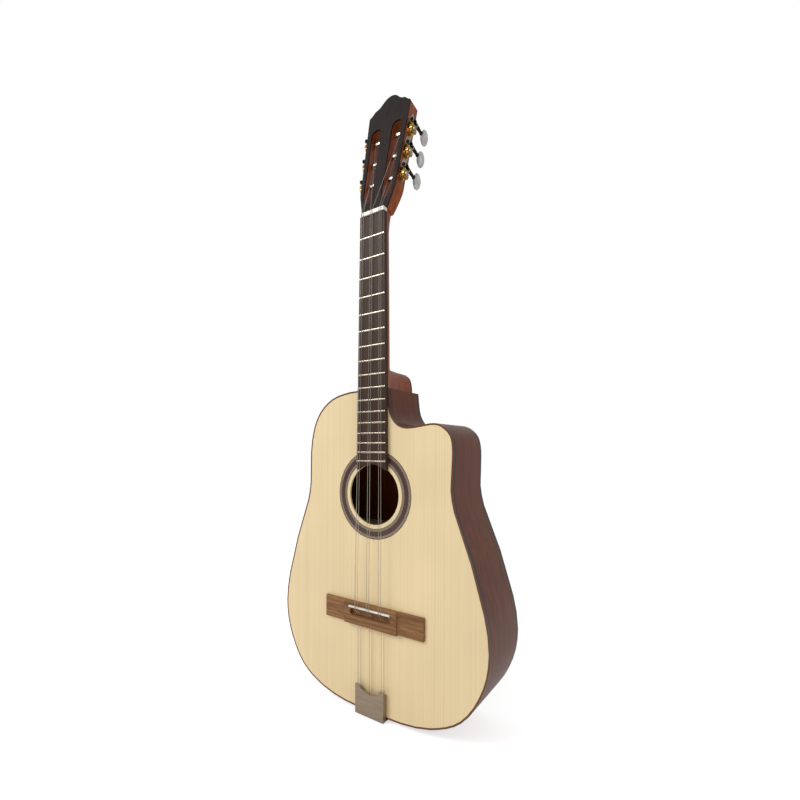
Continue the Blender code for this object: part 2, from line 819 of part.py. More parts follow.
def head_block():
    """The wood of the head, thinner towards the neck, with its slots and roller holes."""
    bend = 0.034

    def back(z):
        share = min(max(z / bend, 0.0), 1.0)
        return NECK_DEPTH + 0.0022 + (HEAD_THICKNESS - NECK_DEPTH - 0.0022) * sin(pi / 2 * share)

    rows = [bend * i / 4 for i in range(1, 5)]
    wood = prism([head_outline(0.0010)], HEADPLATE + GAP, back, rows)
    slots = [prism([slot_outline(side)], -0.001, HEAD_THICKNESS + 0.002) for side in (-1, 1)]
    holes = roller_holes(JOURNAL_END + 0.001)
    return moved(baked(wood, cut=slots + holes), HEAD)


def make_headplate():
    plate = prism([head_outline(0.0022), slot_outline(-1), slot_outline(1)], 0.0, HEADPLATE)
    add_piece("headplate", plate, EBONY, HEAD)


# Tuning machines

WORM_PITCH = 2 * pi * GEAR_PITCH_RADIUS / GEAR_TEETH
WORM_OFFSET = GEAR_PITCH_RADIUS + WORM_PITCH_RADIUS
THREAD_HALF = WORM_PITCH * (WORM_TURNS + TOOTH_SHARE) / 2 + 0.0003
EAR_START = THREAD_HALF + 0.0010


def plate_shape():
    """The side plate's outline: lobes at each gear, drawn in between, with a rounded tab at each end."""
    spacing = ROLLER_PLACES[1] - ROLLER_PLACES[0]
    low, high = -0.0120, 2 * spacing + 0.0260
    count = 20
    right = []
    for i in range(count + 1):
        z = low + (high - low) * i / count
        wave = cos(2 * pi * (z - WORM_OFFSET / 2) / spacing)
        half = PLATE_HALF - 0.0016 * (1 - wave)
        near = min(z - low, high - z)
        if near < 0.005:
            half = min(half, 0.0015 + 0.0035 * sqrt(max(1 - (1 - near / 0.005) ** 2, 0.0)))
        elif near < 0.008:
            half = min(half, 0.0050 - 0.0015 * sin(pi * (near - 0.005) / 0.003))
        right.append((half, z))
    return right + [(-half, z) for half, z in right[::-1]]


def make_plate(side, frame):
    """A side plate with two bearings for each worm, in the frame of its lowest roller."""
    spacing = (ROLLER_PLACES[1] - ROLLER_PLACES[0]) / cos(asin(LEAN_SINE))
    # Drawn across Y in its own plane, then turned to face out of the head's side.
    turn = Matrix(((0, 1, 0, 0), (1, 0, 0, 0), (0, 0, 1, 0), (0, 0, 0, 1)))
    sheet = moved(prism([plate_shape()], GAP, GAP + PLATE_THICKNESS), turn)
    ears, holes = [], []
    for i in range(3):
        rise = i * spacing
        holes.append(rod((-0.002, 0, rise), (0.004, 0, rise), JOURNAL_RADIUS + RUNNING))
        axis_z = rise + WORM_OFFSET
        for start in (-EAR_START - EAR_THICKNESS, EAR_START):
            stop = start + EAR_THICKNESS
            post = box((GAP + SINK, start, axis_z - EAR_RADIUS), (WORM_HEIGHT, stop, axis_z + EAR_RADIUS))
            ring = rod((WORM_HEIGHT, start, axis_z), (WORM_HEIGHT, stop, axis_z), EAR_RADIUS)
            ears += [baked(post, joined=[ring])]
        reach = EAR_START + EAR_THICKNESS + 0.001
        bore = WORM_SHAFT_RADIUS + RUNNING
        holes.append(rod((WORM_HEIGHT, -reach, axis_z), (WORM_HEIGHT, reach, axis_z), bore))
    mesh = baked(sheet, joined=ears, cut=holes)
    name = "tuner_plate_treble" if side > 0 else "tuner_plate_bass"
    add_piece(name, moved(mesh, mirror(side)), NICKEL, frame)


def mirror(side):
    return Matrix.Diagonal((side, 1, 1, 1))


def worm_mesh(hand):
    """A worm on its shaft along Y: one thread, right-handed for a hand of 1."""
    root = WORM_PITCH_RADIUS - WORM_ROOT_IN
    tip = WORM_PITCH_RADIUS + WORM_TIP_OUT
    middle = WORM_PITCH * TOOTH_SHARE / 2
    slope = 0.18
    half_tip = middle - slope * WORM_TIP_OUT
    sunk = root - SINK
    half_sunk = middle + slope * (WORM_PITCH_RADIUS - sunk)
    rings = []
    for i in range(WORM_TURNS * WORM_STEPS + 1):
        turns = i / WORM_STEPS - WORM_TURNS / 2
        y = WORM_PITCH * turns
        angle = 2 * pi * turns  # the thread faces the gear half a pitch either side of its middle tooth
        out = Vector((hand * sin(angle), 0.0, cos(angle)))
        ring = []
        for radius, shift in ((sunk, -half_sunk), (tip, -half_tip), (tip, half_tip), (sunk, half_sunk)):
            ring.append(out * radius + Vector((0.0, y + shift, 0.0)))
        rings.append(ring)
    thread = loft(rings)
    ear_end = EAR_START + EAR_THICKNESS
    core_end = EAR_START - GAP
    collar = ear_end + GAP
    profile = [
        (0.0, BUTTON_START + 0.0060),
        (BUTTON_PIN_RADIUS, BUTTON_START + 0.0060),
        (BUTTON_PIN_RADIUS, BUTTON_START - GAP),
        (0.0032, BUTTON_START - GAP),
        (0.0022, BUTTON_START - 0.0026),
        (0.0028, collar + 0.0024),
        (0.0028, collar),
        (WORM_SHAFT_RADIUS, collar),
        (WORM_SHAFT_RADIUS, core_end),
        (root, core_end),
        (root, -core_end),
        (WORM_SHAFT_RADIUS, -core_end),
        (WORM_SHAFT_RADIUS, -collar),
        (0.0026, -collar),
        (0.0022, -collar - 0.0016),
        (0.0, -collar - 0.0018),
    ]
    upright = Matrix.Rotation(-pi / 2, 4, "X") @ Matrix.Rotation(pi / WORM_STEPS, 4, "Z")
    shaft = moved(turned(profile), upright)
    return baked(shaft, joined=[thread])


def gear_mesh(hand):
    """A gear about X with slanted teeth that follow the worm's thread."""
    pitch_angle = 2 * pi / GEAR_TEETH
    root, tip = GEAR_PITCH_RADIUS - TOOTH_IN, GEAR_PITCH_RADIUS + TOOTH_OUT
    middle = WORM_PITCH * TOOTH_SHARE / 2
    slope = 0.18
    half_root = (middle + slope * TOOTH_IN) / root
    half_tip = (middle - slope * TOOTH_OUT) / tip
    slant = WORM_PITCH / (2 * pi) * asin(GEAR_WIDTH / 2 / WORM_PITCH_RADIUS) / GEAR_PITCH_RADIUS
    rings = []
    for x, twist in ((-GEAR_WIDTH / 2, -slant), (GEAR_WIDTH / 2, slant)):
        ring = []
        for tooth in range(GEAR_TEETH):
            for radius, half in ((root, -half_root), (tip, -half_tip), (tip, half_tip), (root, half_root)):
                angle = tooth * pitch_angle + half + hand * twist
                ring.append((WORM_HEIGHT + x, -radius * sin(angle), radius * cos(angle)))
        rings.append(ring)
    start = GAP + PLATE_THICKNESS + GAP
    hub = rod((start, 0, 0), (WORM_HEIGHT, 0, 0), 0.0042)
    bore = rod((0, 0, 0), (0.012, 0, 0), SPINDLE_RADIUS + GAP)
    return baked(loft(rings), joined=[hub], cut=[bore])


def winding(place):
    """String turns on a roller, in its frame: one tube that starts inside the drum and then clears it."""
    radius = DRUM_RADIUS + WINDING_RADIUS + GAP
    steps = WINDING_POINTS
    points = [Vector((place, 0.0, DRUM_RADIUS - 0.0015)), Vector((place, 0.0, DRUM_RADIUS - 0.0006))]
    turns = []
    for i in range(WINDING_TURNS * steps + 1):
        angle = 2 * pi * (i + 2) / steps
        x = place + WINDING_STEP * i / steps
        turns.append(Vector((x, -radius * sin(angle), radius * cos(angle))))
    straight = (turns[-1] - turns[-2]).normalized() * 2 * WINDING_RADIUS
    return points + turns + [turns[-1] + straight], turns


def least_gap(turns):
    """The least clear distance between turns of a winding, measured on its points."""
    steps = WINDING_POINTS
    nearest = 1.0
    for i, a in enumerate(turns):
        for b in turns[i + steps // 2:]:
            nearest = min(nearest, (a - b).length)
    return nearest - 2 * WINDING_RADIUS


def roller_mesh(place):
    """A string roller about X: drum, journals, gear seat and the screw head that keeps the gear on."""
    seat = GAP + PLATE_THICKNESS + GAP
    gear_end = WORM_HEIGHT + GEAR_WIDTH / 2
    profile = [
        (0.0, gear_end + GAP + 0.0014),
        (0.0022, gear_end + GAP + 0.0014),
        (0.0032, gear_end + GAP + 0.0006),
        (0.0032, gear_end + GAP),
        (SPINDLE_RADIUS, gear_end + GAP),
        (SPINDLE_RADIUS, seat),
        (JOURNAL_RADIUS, seat - GAP),
        (JOURNAL_RADIUS, -DRUM_START),
        (DRUM_RADIUS, -DRUM_START),
        (DRUM_RADIUS, -DRUM_END),
        (JOURNAL_RADIUS, -DRUM_END),
        (JOURNAL_RADIUS, -JOURNAL_END),
        (0.0, -JOURNAL_END),
    ]
    lie = Matrix.Rotation(pi / 2, 4, "Y")
    bar = moved(turned(profile), lie)
    points, turns = winding(place)
    return baked(bar, joined=[tube(points, WINDING_RADIUS, 1)]), least_gap(turns)


def button_mesh():
    """A flat oval button at the end of the worm's shaft."""
    bm = bmesh.new()
    bmesh.ops.create_uvsphere(bm, u_segments=10, v_segments=6, radius=1.0)
    stretch = Matrix.Diagonal((*BUTTON_RADII, 1.0))
    place = Matrix.Translation((0.0, BUTTON_START + BUTTON_RADII[1], 0.0))
    bmesh.ops.transform(bm, matrix=place @ stretch, verts=bm.verts)
    bore = rod((0, 0, 0), (0, BUTTON_START + 0.0066, 0), BUTTON_PIN_RADIUS + GAP, 8)
    return baked(to_mesh(bm), cut=[bore])


LEAN_SINE = (HEAD_CORNER[0] - HEAD_LOWER[0]) / hypot(HEAD_CORNER[0] - HEAD_LOWER[0], HEAD_CORNER[1] - HEAD_LOWER[1])
# Which roller each string runs to: the outer strings to the lowest rollers, the inner ones to the highest.
ROLLER_OF_STRING = (0, 1, 2, 2, 1, 0)
WINDING_PLACES = (-0.0145, -0.0165, -0.0150)


def make_tuners():
    head = add_empty("head_frame", HEAD)
    parts = {}
    gaps = []
    for side, word in ((-1, "bass"), (1, "treble")):
        make_plate(side, HEAD @ side_frame(side, ROLLER_PLACES[0]))
        worm = moved(worm_mesh(side), mirror(side))
        gear = moved(gear_mesh(side), mirror(side))
        button = moved(button_mesh(), mirror(side))
        for i, along in enumerate(ROLLER_PLACES):
            tag = f"{word}_{i + 1}"
            frame = add_empty("roller_axis_" + tag, side_frame(side, along), head)
            drum, gap = roller_mesh(WINDING_PLACES[i])
            gaps.append(gap)
            add_piece("roller_" + tag, moved(drum, mirror(side)), STEEL, parent=frame)
            add_piece("gear_" + tag, gear, BRASS, parent=frame)
            axis = Matrix.Translation((side * WORM_HEIGHT, 0.0, WORM_OFFSET))
            turn = add_empty("worm_axis_" + tag, axis, frame)
            add_piece("worm_" + tag, worm, BLACKENED, parent=turn)
            add_piece("button_" + tag, button, PEARL, parent=turn)
            parts[tag] = frame
    print(f"least gap between turns of a winding: {1000 * min(gaps):.2f} mm")


# Bridge, tailpiece and strings


def make_bridge():
    wing, block = BRIDGE_HALF, BRIDGE_BLOCK_HALF
    rise = BRIDGE_HEIGHT - BRIDGE_WING
    fillet = []
    for i in range(5):
        angle = pi / 2 * i / 4
        fillet.append((block + rise - rise * sin(angle), BRIDGE_WING + rise * (1 - cos(angle))))
    fillet = [(x, h) for x, h in fillet]
    right = [(wing, 0.0003), (wing, BRIDGE_WING - 0.0006), (wing - 0.001, BRIDGE_WING)] + fillet
    right += [(block - 0.001, BRIDGE_HEIGHT)]
    profile = right + [(-x, h) for x, h in right[::-1]]
    low, high = -BRIDGE_TOP - BRIDGE_LENGTH, -BRIDGE_TOP
    bar = prism([[(x, h) for x, h in profile]], low, high)
    turn = Matrix(((1, 0, 0, 0), (0, 0, -1, 0), (0, 1, 0, 0), (0, 0, 0, 1)))
    bar = moved(bar, turn)
    seat_half = SADDLE_THICKNESS / 2 + GAP
    seat = box(
        (-SADDLE_HALF - GAP, -0.020, -SADDLE_PLACE - seat_half),
        (SADDLE_HALF + GAP, SADDLE_SEAT_Y + GAP, -SADDLE_PLACE + seat_half),
    )
    radius = TIE_SLOT_LENGTH / 2
    middle = -TIE_PLACE
    slot = stadium((-SADDLE_HALF + radius, middle - 1e-5), (SADDLE_HALF - radius, middle + 1e-5), radius)
    trough = prism([slot], -0.020, TIE_SLOT_Y)
    holes = []
    for number in range(2 * COURSES):
        x = string_x(number, PAIR_AT_SADDLE, COURSE_AT_SADDLE)
        holes.append(rod((x, STRING_EXIT_Y, -TIE_PLACE), (x, STRING_EXIT_Y, low - 0.002), STRING_HOLE_RADIUS, 8))
    add_piece("bridge", baked(bar, cut=[seat, trough, *holes]), WALNUT)


TIE_PLACE = SADDLE_PLACE + SADDLE_THICKNESS / 2 + GAP + 0.0012 + TIE_SLOT_LENGTH / 2


def make_saddle():
    thick = SADDLE_THICKNESS / 2
    top = SADDLE_STRING_Y + max(STRING_RADII) + GAP
    profile = [
        (-thick, SADDLE_SEAT_Y),
        (-thick, top + 0.0012),
        (-thick / 2, top + 0.0002),
        (thick / 2, top),
        (thick, top + 0.0005),
        (thick, SADDLE_SEAT_Y),
    ]
    rings = [[(x, y, z - SADDLE_PLACE) for z, y in profile] for x in (-SADDLE_HALF, SADDLE_HALF)]
    add_piece("saddle", loft(rings), BONE)


def tail_notch():
    """The top edge of the tailpiece, from the bass horn to the treble horn: two scoops and a point between."""
    right = smooth_path([(TAIL_HALF, 0.0), (0.0185, 0.0005)], 1)
    right += smooth_path([(0.0172, -0.0030), (0.0140, -0.0062), (0.0080, -0.0074), (0.0, -TAIL_NOTCH)], 3)
    return [(-p.x, p.y - TAIL_TOP) for p in right] + [(p.x, p.y - TAIL_TOP) for p in right[-2::-1]]


def make_tailpiece():
    end = -BODY_END - GAP
    outer = end - TAIL_SHEET
    face = prism([tail_notch() + [(TAIL_HALF, outer), (-TAIL_HALF, outer)]], TAIL_FACE_Y, TAIL_FACE_Y + TAIL_SHEET)
    joined = []
    for sign in (-1, 1):
        xs = sorted((sign * TAIL_HALF, sign * (TAIL_HALF - TAIL_SHEET)))
        low = (xs[0], TAIL_FACE_Y + SINK, outer + SINK)
        joined.append(box(low, (xs[1], TAIL_SKIRT_Y, -TAIL_TOP - 0.0050)))
    joined.append(box((-TAIL_HALF, TAIL_FACE_Y + SINK, outer), (TAIL_HALF, TAIL_END_Y, end)))
    bar_top = -ANCHOR_PLACE
    low = (-TAIL_HALF + SINK, TAIL_FACE_Y + SINK, bar_top - ANCHOR_LENGTH)
    joined.append(box(low, (TAIL_HALF - SINK, ANCHOR_Y + 0.0022, bar_top)))
    cut = screw_holes(BODY_END - 0.001, BODY_END + 0.010)
    for number, radius in enumerate(STRING_RADII):
        x = string_x(number, PAIR_AT_SADDLE, COURSE_AT_SADDLE)
        start = (x, ANCHOR_Y, bar_top + 0.001)
        cut.append(rod(start, (x, ANCHOR_Y, bar_top - ANCHOR_LENGTH - 0.001), radius + GAP + 0.0001, 8))
    add_piece("tailpiece", baked(face, joined=joined, cut=cut), SATIN_NICKEL)


def make_tailpiece_screws():
    sheet = -BODY_END - GAP - TAIL_SHEET
    for number, x in enumerate((-SCREW_X, SCREW_X), 1):
        head = -GAP
        profile = [
            (0.0, SCREW_LENGTH),
            (SCREW_RADIUS * 0.5, SCREW_LENGTH),
            (SCREW_RADIUS, SCREW_LENGTH - 0.003),
            (SCREW_RADIUS, head),
            (SCREW_HEAD_RADIUS, head),
            (SCREW_HEAD_RADIUS * 0.8, head - 0.0012),
            (SCREW_HEAD_RADIUS * 0.4, head - 0.0019),
            (0.0, head - 0.0020),
        ]
        place = Matrix.Translation((x, SCREW_Y, sheet))
        add_piece(f"tailpiece_screw_{number}", turned(profile), NICKEL, place)


def string_route(number):
    """A string from its anchor under the tailpiece to just short of its roller."""
    radius = STRING_RADII[number]
    side = -1 if number < COURSES else 1
    slot = ROLLER_OF_STRING[number]
    saddle_x = string_x(number, PAIR_AT_SADDLE, COURSE_AT_SADDLE)
    nut_x = string_x(number, PAIR_AT_NUT, COURSE_AT_NUT)
    frame = HEAD @ side_frame(side, ROLLER_PLACES[slot])
    wound = WINDING_PLACES[slot] + WINDING_TURNS * WINDING_STEP
    front = frame @ Vector((side * wound, -DRUM_RADIUS - WINDING_RADIUS - GAP, 0.0))
    nut_end = Vector((nut_x, NUT_STRING_Y, NUT_THICKNESS))
    stop = front + (nut_end - front).normalized() * 0.0034
    low = -BRIDGE_TOP - BRIDGE_LENGTH
    return [
        Vector((saddle_x, ANCHOR_Y, -ANCHOR_PLACE - ANCHOR_LENGTH + 0.0008)),
        Vector((saddle_x, ANCHOR_Y, -ANCHOR_PLACE + 0.001)),
        Vector((saddle_x, STRING_EXIT_Y, low - 0.001)),
        Vector((saddle_x, STRING_EXIT_Y, -TIE_PLACE - TIE_SLOT_LENGTH / 2 + 0.0012)),
        Vector((saddle_x, SADDLE_STRING_Y + 0.0006, -SADDLE_PLACE - SADDLE_THICKNESS / 2)),
        Vector((saddle_x, SADDLE_STRING_Y, -SADDLE_PLACE)),
        Vector((nut_x, NUT_STRING_Y, -0.0005)),
        nut_end,
        stop,
    ]


def make_strings():
    for number, radius in enumerate(STRING_RADII):
        add_piece(f"string_{number + 1}", tube(string_route(number), radius, 2), STRING_STEEL)


clear_scene()
PIECES = new_collection("cuban_tres")
CUTTERS = new_collection("cutters")

SPRUCE = finish("spruce", (0.86, 0.70, 0.46), 0.35)
SPRUCE_INSIDE = finish("raw_spruce", (0.72, 0.56, 0.36), 0.7)
ROSETTE = finish("rosette", (0.20, 0.12, 0.09), 0.35)
MAHOGANY = finish("mahogany", (0.32, 0.13, 0.05), 0.3)
MAHOGANY_DARK = finish("dark_mahogany", (0.20, 0.07, 0.03), 0.2)
BINDING = finish("binding", (0.02, 0.012, 0.01), 0.25)
EBONY = finish("dark_wood", (0.06, 0.045, 0.04), 0.45)
BONE = finish("bone", (0.88, 0.85, 0.76), 0.35)
WALNUT = finish("walnut", (0.26, 0.14, 0.07), 0.5)
SATIN_NICKEL = finish("satin_nickel", (0.60, 0.56, 0.52), 0.35, 1.0)
NICKEL = finish("nickel", (0.72, 0.70, 0.66), 0.2, 1.0)
BRASS = finish("brass", (0.80, 0.60, 0.25), 0.25, 1.0)
STEEL = finish("steel", (0.66, 0.65, 0.63), 0.25, 1.0)
BLACKENED = finish("blackened_steel", (0.05, 0.045, 0.04), 0.3, 1.0)
PEARL = finish("pearl", (0.78, 0.77, 0.75), 0.25)
STRING_STEEL = finish("string_steel", (0.75, 0.73, 0.70), 0.3, 1.0)

OUTLINE, TAIL_INDEX = body_outline()
make_soundboard()
make_sides()
make_bindings()
make_back()
make_linings()
make_tail_block()
make_braces()
make_neck_and_head()
make_fingerboard()
make_nut()
make_headplate()
make_tuners()
make_bridge()
make_saddle()
make_tailpiece()
make_tailpiece_screws()
make_strings()
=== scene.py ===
# %% [markdown]
# A cuban tres with a cutaway
#
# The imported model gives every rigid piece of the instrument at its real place. This lesson gives those
# pieces their woods, metals and plastics, adds what is too fine for a solid, such as fret wire and inlay,
# and sets up the studio. Each finish is described first as the real thing, and then as shader nodes.

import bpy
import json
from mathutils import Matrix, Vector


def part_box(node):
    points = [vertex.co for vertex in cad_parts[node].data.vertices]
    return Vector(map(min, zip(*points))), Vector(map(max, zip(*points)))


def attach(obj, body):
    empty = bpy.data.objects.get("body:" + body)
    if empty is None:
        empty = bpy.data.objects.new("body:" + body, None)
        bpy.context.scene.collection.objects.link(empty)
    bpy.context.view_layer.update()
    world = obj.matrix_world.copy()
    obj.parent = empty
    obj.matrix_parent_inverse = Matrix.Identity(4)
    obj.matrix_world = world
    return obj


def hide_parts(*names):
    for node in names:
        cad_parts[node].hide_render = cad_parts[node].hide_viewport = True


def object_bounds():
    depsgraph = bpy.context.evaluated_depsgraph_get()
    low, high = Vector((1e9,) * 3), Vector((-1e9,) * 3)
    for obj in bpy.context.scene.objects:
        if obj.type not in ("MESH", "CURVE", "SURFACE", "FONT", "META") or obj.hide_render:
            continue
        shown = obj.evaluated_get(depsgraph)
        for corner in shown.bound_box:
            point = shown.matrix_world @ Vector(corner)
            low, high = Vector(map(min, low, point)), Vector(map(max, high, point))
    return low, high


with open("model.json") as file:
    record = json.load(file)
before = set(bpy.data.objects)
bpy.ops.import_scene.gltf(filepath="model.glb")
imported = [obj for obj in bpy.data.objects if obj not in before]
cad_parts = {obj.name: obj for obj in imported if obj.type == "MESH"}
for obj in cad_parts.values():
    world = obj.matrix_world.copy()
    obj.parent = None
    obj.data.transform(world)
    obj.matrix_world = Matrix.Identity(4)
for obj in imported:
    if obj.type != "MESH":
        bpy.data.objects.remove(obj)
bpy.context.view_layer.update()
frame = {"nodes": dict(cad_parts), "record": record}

# %% [markdown]
# Colours as a screen shows them
#
# A screen bends its values, and a shader works with plain amounts of light. Colours are easier to judge as
# a screen shows them, so this lesson writes each one from 0 to 255 and lets one function straighten it.

# %% The colour tool
import json
from math import pi, radians, sin

import bmesh
import bpy
from mathutils import Matrix, Vector

nodes = frame["nodes"]


def srgb(red, green, blue):
    """A colour as a screen shows it, 0 to 255, made linear for a shader."""
    values = []
    for part in (red, green, blue):
        share = part / 255
        values.append(share / 12.92 if share <= 0.04045 else ((share + 0.055) / 1.055) ** 2.4)
    return (*values, 1.0)


print("middle grey is this much light:", round(srgb(128, 128, 128)[0], 3))

# %% [markdown]
# Helpers for shader nodes
#
# A shader is a tree of nodes that each do little, and every node takes a line to add, a line for each value
# and a line for each link. These helpers do all that in one line, so that a finish reads like a recipe.

# %% The node helpers
MIX_MASK, MIX_FIRST, MIX_SECOND = 0, 6, 7  # which inputs of a Mix node belong to its colour form
MIX_RESULT = 2


def new_material(name):
    """A material with its node tree and its Principled shader."""
    made = bpy.data.materials.new(name)
    made.use_nodes = True
    return made, made.node_tree, made.node_tree.nodes["Principled BSDF"]


def add(tree, kind, **settings):
    """A new node. Each setting fills the input of that name, or else the node's own property."""
    node = tree.nodes.new(kind)
    for key, value in settings.items():
        if key in node.inputs:
            node.inputs[key].default_value = value
        else:
            setattr(node, key, value)
    return node


def ranged(tree, value, start=(0.0, 1.0), end=(0.0, 1.0)):
    """The value with its range moved from start to end, and held inside it."""
    node = add(tree, "ShaderNodeMapRange")
    node.inputs["From Min"].default_value, node.inputs["From Max"].default_value = start
    node.inputs["To Min"].default_value, node.inputs["To Max"].default_value = end
    tree.links.new(value, node.inputs["Value"])
    return node.outputs["Result"]


def reckoned(tree, operation, *values):
    """The result of a Math node. Each value is a number or another node's socket."""
    node = add(tree, "ShaderNodeMath", operation=operation)
    for socket, value in zip(node.inputs, values):
        if isinstance(value, bpy.types.NodeSocket):
            tree.links.new(value, socket)
        else:
            socket.default_value = value
    return node.outputs["Value"]


def mixed(tree, mask, first, second):
    """The first colour where the mask is 0, the second where it is 1. Each is a colour or a socket."""
    node = add(tree, "ShaderNodeMix", data_type="RGBA")
    tree.links.new(mask, node.inputs[MIX_MASK])
    for index, colour in ((MIX_FIRST, first), (MIX_SECOND, second)):
        if isinstance(colour, bpy.types.NodeSocket):
            tree.links.new(colour, node.inputs[index])
        else:
            node.inputs[index].default_value = srgb(*colour)
    return node.outputs[MIX_RESULT]


print("node helpers ready")

# %% [markdown]
# Wood grain as one group
#
# Spruce, mahogany, walnut and the dark fingerboard wood differ in colour and scale, but all grew in rings
# and carry long pores. A wave texture would give rings that are too even. Noise that is squeezed across the
# grain and stretched along it gives uneven streaks, and finer noise of the same kind gives pores. Each wood
# needs the same nodes, so they are one group. It puts out a mask for the streaks, one for the pores and a
# slow change of tone, and each wood mixes its own colours with them.

# %% The grain group
STREAK_RANGE = (0.35, 0.66)
PORE_RANGE = (0.58, 0.72)
PORE_ALONG = 60.0
TONE_SCALE = 9.0


def new_group(name, inputs, outputs):
    """An empty node group with named inputs and outputs, and its two end nodes."""
    group = bpy.data.node_groups.new(name, "ShaderNodeTree")
    for title, kind, value in inputs:
        socket = group.interface.new_socket(title, in_out="INPUT", socket_type=kind)
        if value is not None:
            socket.default_value = value
    for title, kind in outputs:
        group.interface.new_socket(title, in_out="OUTPUT", socket_type=kind)
    return group, group.nodes.new("NodeGroupInput"), group.nodes.new("NodeGroupOutput")


def stretched_noise(tree, place, across, along, **settings):
    """Noise with about that many features a metre across the grain and along it."""
    scale = add(tree, "ShaderNodeCombineXYZ")
    for axis in ("X", "Y"):
        tree.links.new(across, scale.inputs[axis])
    if isinstance(along, bpy.types.NodeSocket):
        tree.links.new(along, scale.inputs["Z"])
    else:
        scale.inputs["Z"].default_value = along
    squeeze = add(tree, "ShaderNodeVectorMath", operation="MULTIPLY")
    tree.links.new(place, squeeze.inputs[0])
    tree.links.new(scale.outputs["Vector"], squeeze.inputs[1])
    noise = add(tree, "ShaderNodeTexNoise", Scale=1.0, **settings)
    tree.links.new(squeeze.outputs["Vector"], noise.inputs["Vector"])
    return noise.outputs["Fac"]


grain, grain_in, grain_out = new_group(
    "wood grain",
    [
        ("Vector", "NodeSocketVector", None),
        ("Across", "NodeSocketFloat", 260.0),
        ("Along", "NodeSocketFloat", 3.0),
        ("Pores", "NodeSocketFloat", 1400.0),
    ],
    [("Streaks", "NodeSocketFloat"), ("Pore", "NodeSocketFloat"), ("Tone", "NodeSocketFloat")],
)
given = grain_in.outputs
streaks = stretched_noise(grain, given["Vector"], given["Across"], given["Along"], Detail=3.0, Roughness=0.6)
grain.links.new(ranged(grain, streaks, STREAK_RANGE), grain_out.inputs["Streaks"])
pores_noise = stretched_noise(grain, given["Vector"], given["Pores"], PORE_ALONG, Detail=2.0)
grain.links.new(ranged(grain, pores_noise, PORE_RANGE), grain_out.inputs["Pore"])
tone_noise = add(grain, "ShaderNodeTexNoise", Scale=TONE_SCALE, Detail=1.0)
grain.links.new(given["Vector"], tone_noise.inputs["Vector"])
grain.links.new(tone_noise.outputs["Fac"], grain_out.inputs["Tone"])
print("grain group sockets:", [item.name for item in grain.interface.items_tree])

# %% [markdown]
# One function for all the woods
#
# A lacquered wood has its grain under a clear film. The colour comes from the grain masks, the open pores
# dent the surface a little, and the shader's coat stands for the lacquer. Bare wood inside the body has no
# coat and is rough. The grain runs up the instrument, except on the bridge, where it runs from side to side.

# %% The wood function
TONE_SPREAD = (0.9, 1.1)
LACQUER_ROUGHNESS = 0.08
DENT_STRENGTH = 0.5


def wood(name, light, dark, pore, grain_along="Z", across=260.0, along=3.0, pores=1400.0,
         roughness=0.4, coat=0.0, pore_share=0.5, dent=0.00003, specular=0.35):
    """A wood with light and dark streaks and darker pores. The dent is the depth of a pore in metres."""
    made, tree, shader = new_material(name)
    place = add(tree, "ShaderNodeTexCoord")
    turn = add(tree, "ShaderNodeMapping")
    if grain_along == "X":
        turn.inputs["Rotation"].default_value = (0, radians(90), 0)
    tree.links.new(place.outputs["Object"], turn.inputs["Vector"])
    figure = add(tree, "ShaderNodeGroup")
    figure.node_tree = grain
    for key, value in (("Across", across), ("Along", along), ("Pores", pores)):
        figure.inputs[key].default_value = value
    tree.links.new(turn.outputs["Vector"], figure.inputs["Vector"])
    base = mixed(tree, figure.outputs["Streaks"], light, dark)
    pored = mixed(tree, reckoned(tree, "MULTIPLY", figure.outputs["Pore"], pore_share), base, pore)
    warm = add(tree, "ShaderNodeHueSaturation")
    tree.links.new(ranged(tree, figure.outputs["Tone"], end=TONE_SPREAD), warm.inputs["Value"])
    tree.links.new(pored, warm.inputs["Color"])
    tree.links.new(warm.outputs["Color"], shader.inputs["Base Color"])
    bump = add(tree, "ShaderNodeBump", invert=True, Strength=DENT_STRENGTH, Distance=dent)
    tree.links.new(figure.outputs["Pore"], bump.inputs["Height"])
    tree.links.new(bump.outputs["Normal"], shader.inputs["Normal"])
    shader.inputs["Roughness"].default_value = roughness
    shader.inputs["Specular IOR Level"].default_value = specular
    shader.inputs["Coat Weight"].default_value = coat
    shader.inputs["Coat Roughness"].default_value = LACQUER_ROUGHNESS
    return made


print("tone moves between", *TONE_SPREAD)

# %% [markdown]
# The woods of this instrument
#
# The soundboard is pale spruce with fine, close rings. Ribs and back are dark mahogany, and the neck is a
# lighter piece of it. The fingerboard is dark and dull, the face of the head nearly black, and the bridge is
# oiled walnut with open pores.

# %% The seven woods
spruce = wood("spruce top", (246, 224, 180), (240, 214, 166), (224, 190, 138), across=520.0, along=0.8,
              pores=2600.0, roughness=0.4, coat=0.15, pore_share=0.22, dent=0.00001)
bare_spruce = wood("bare spruce", (222, 196, 152), (200, 168, 120), (176, 140, 96), across=420.0,
                   roughness=0.75)
mahogany = wood("mahogany", (160, 80, 26), (122, 52, 12), (70, 30, 6), across=200.0, roughness=0.35,
                coat=0.15)
dark_mahogany = wood("dark mahogany", (112, 54, 14), (92, 40, 8), (60, 25, 5), across=110.0, along=5.0,
                     roughness=0.3, coat=0.2, pore_share=0.3)
ebony = wood("dark fingerboard wood", (78, 56, 46), (56, 40, 33), (34, 24, 20), across=420.0,
             roughness=0.5, specular=0.2)
headplate_wood = wood("dark headplate", (42, 30, 27), (30, 21, 19), (18, 12, 11), across=300.0,
                      roughness=0.45, specular=0.2)
walnut = wood("open-pored walnut", (158, 114, 70), (112, 74, 44), (62, 38, 22), grain_along="X",
              across=330.0, along=9.0, pores=900.0, roughness=0.5, pore_share=0.8)
woods = (spruce, bare_spruce, mahogany, dark_mahogany, ebony, headplate_wood, walnut)
